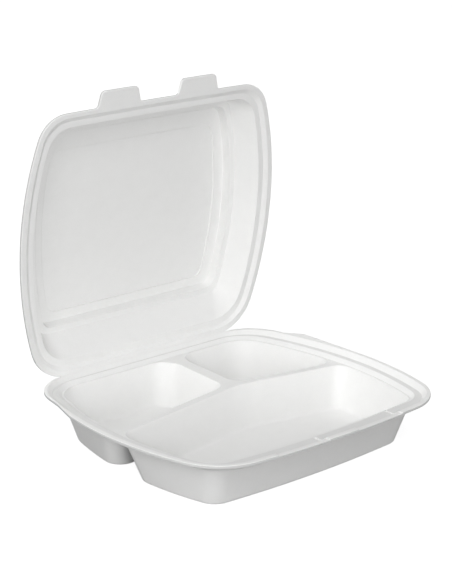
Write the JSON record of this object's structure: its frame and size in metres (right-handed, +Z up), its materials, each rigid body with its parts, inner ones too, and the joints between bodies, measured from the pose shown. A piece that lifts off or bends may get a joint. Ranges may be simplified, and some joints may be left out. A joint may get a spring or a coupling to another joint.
{
  "type": "foam clamshell container",
  "caption": "Moulded foam meal box with a divided tray and a domed lid on a living hinge, latch tabs on the lid.",
  "frame": {"origin": "on the table, on the tray's large foot, midway along the hinge and under the tray's widest line", "axes": "+Z up, +X along the hinge, the tray's front lip towards -Y and the hinge towards +Y"},
  "size_m": [0.24, 0.2352, 0.2435],
  "materials": {
    "foam_tray": "satin white foamed polystyrene sheet, thermoformed",
    "foam_lid": "satin white foamed polystyrene sheet, thermoformed"
  },
  "bodies": {
    "base_tray": {"base_tray": "foam_tray"},
    "lid": {"lid": "foam_lid"}
  },
  "joints": [
    {"name": "lid_hinge", "type": "hinge", "parent": "base_tray", "child": "lid", "pos_m": [0, 0.105, 0.0381], "axis": [1, 0, 0], "range_deg": [-96, 84]}
  ]
}
